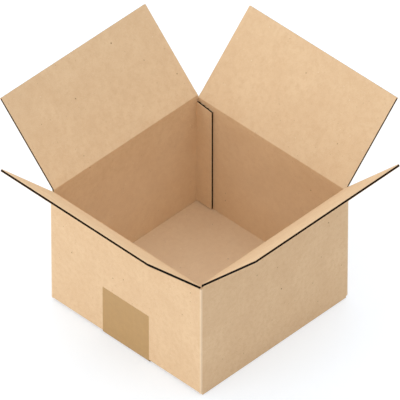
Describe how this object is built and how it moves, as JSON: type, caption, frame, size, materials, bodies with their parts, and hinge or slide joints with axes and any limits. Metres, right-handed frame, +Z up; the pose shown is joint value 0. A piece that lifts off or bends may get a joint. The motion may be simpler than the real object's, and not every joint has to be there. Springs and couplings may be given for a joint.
{
  "type": "open cardboard shipping box",
  "caption": "Open slotted carton of fluted kraft board: square walls, glue tab, taped bottom flaps and hinged top flaps standing outward.",
  "frame": {"origin": "middle of the underside, on the face it rests on", "axes": "+Z up; -Y to the front wall with the tape end, +X to the right wall; the glue tab is in the -X +Y corner"},
  "size_m": [0.3972, 0.3972, 0.2457],
  "materials": {
    "kraft_board": "matte",
    "packing_tape": "satin"
  },
  "bodies": {
    "carton": {"carton_body": "kraft_board", "sealing_tape": "packing_tape"},
    "flap_front": {"top_flap_front": "kraft_board"},
    "flap_right": {"top_flap_right": "kraft_board"},
    "flap_back": {"top_flap_back": "kraft_board"},
    "flap_left": {"top_flap_left": "kraft_board"}
  },
  "joints": [
    {"name": "fold_front", "type": "hinge", "parent": "carton", "child": "flap_front", "pos_m": [0, -0.1173, 0.1563], "axis": [1, 0, 0], "range_deg": [-134, 126]},
    {"name": "fold_right", "type": "hinge", "parent": "carton", "child": "flap_right", "pos_m": [0.1173, 0, 0.1595], "axis": [0, 1, 0], "range_deg": [-134, 126]},
    {"name": "fold_back", "type": "hinge", "parent": "carton", "child": "flap_back", "pos_m": [0, 0.1173, 0.1563], "axis": [-1, 0, 0], "range_deg": [-134, 126]},
    {"name": "fold_left", "type": "hinge", "parent": "carton", "child": "flap_left", "pos_m": [-0.1173, 0, 0.1595], "axis": [0, -1, 0], "range_deg": [-134, 126]}
  ]
}
